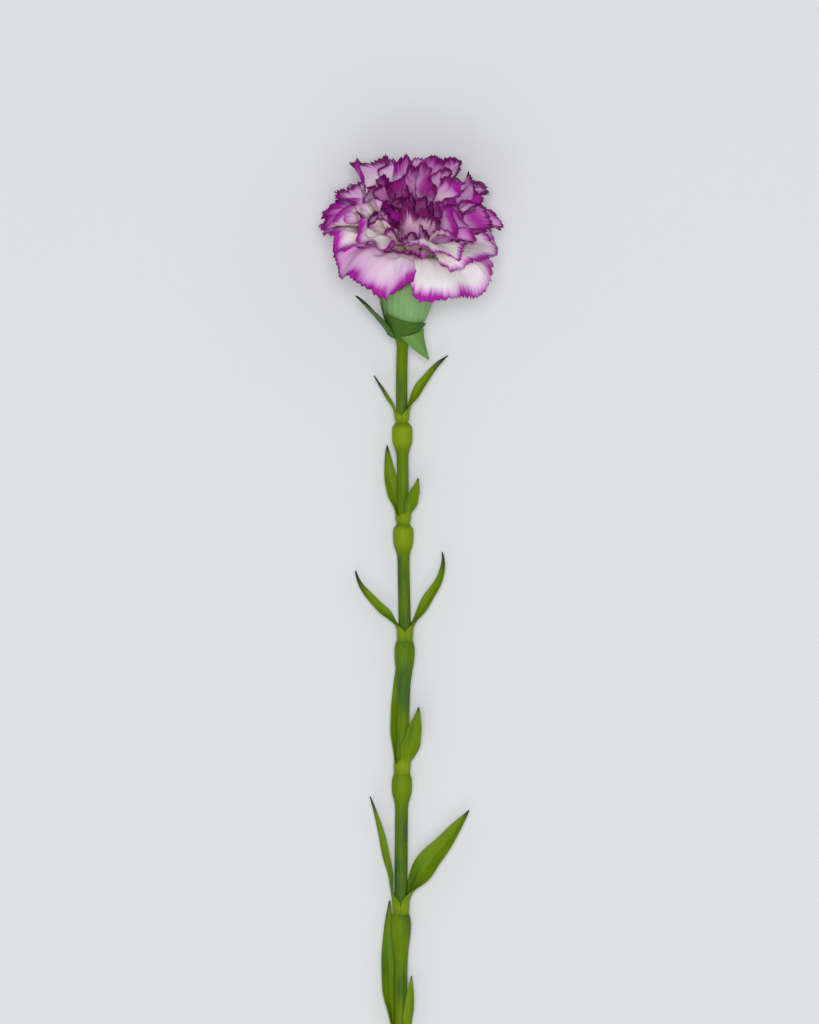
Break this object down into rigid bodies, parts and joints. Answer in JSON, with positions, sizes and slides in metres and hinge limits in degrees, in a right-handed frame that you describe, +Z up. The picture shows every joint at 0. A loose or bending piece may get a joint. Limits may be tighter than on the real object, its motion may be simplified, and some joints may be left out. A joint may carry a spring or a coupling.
{
  "type": "cut carnation",
  "caption": "Cut carnation lying on its side: a jointed stem with paired leaves, a green calyx with bracts and a full double bloom of ruffled violet-edged petals.",
  "frame": {"origin": "on the surface the flower lies on, below the middle of its box", "axes": "+Y along the stem from its cut end towards the bloom, +Z up, away from the surface"},
  "size_m": [0.0694, 0.3993, 0.0657],
  "materials": {
    "stem": "satin",
    "leaf": "satin",
    "calyx": "matte",
    "bract": "matte",
    "petal": "matte"
  },
  "bodies": {
    "root": {"stem": "stem", "leaf_pair_1": "leaf", "leaf_pair_2": "leaf", "leaf_pair_3": "leaf", "leaf_pair_4": "leaf", "leaf_pair_5": "leaf", "leaf_pair_6": "leaf", "calyx": "calyx", "bract_left": "bract", "bract_front": "bract", "bract_back": "bract", "bract_hanging": "bract", "petal_01": "petal", "petal_02": "petal", "petal_03": "petal", "petal_04": "petal", "petal_05": "petal", "petal_06": "petal", "petal_07": "petal", "petal_08": "petal", "petal_09": "petal", "petal_10": "petal", "petal_11": "petal", "petal_12": "petal", "petal_13": "petal", "petal_14": "petal", "petal_15": "petal", "petal_16": "petal", "petal_17": "petal", "petal_18": "petal", "petal_19": "petal", "petal_20": "petal", "petal_21": "petal", "petal_22": "petal", "petal_23": "petal", "petal_24": "petal", "petal_25": "petal", "petal_26": "petal", "petal_27": "petal", "petal_28": "petal", "petal_29": "petal", "petal_30": "petal", "petal_31": "petal", "petal_32": "petal", "petal_33": "petal", "petal_34": "petal", "petal_35": "petal", "petal_36": "petal", "petal_37": "petal", "petal_38": "petal", "petal_39": "petal", "petal_40": "petal", "petal_41": "petal", "petal_42": "petal", "petal_43": "petal", "petal_44": "petal"}
  },
  "joints": []
}
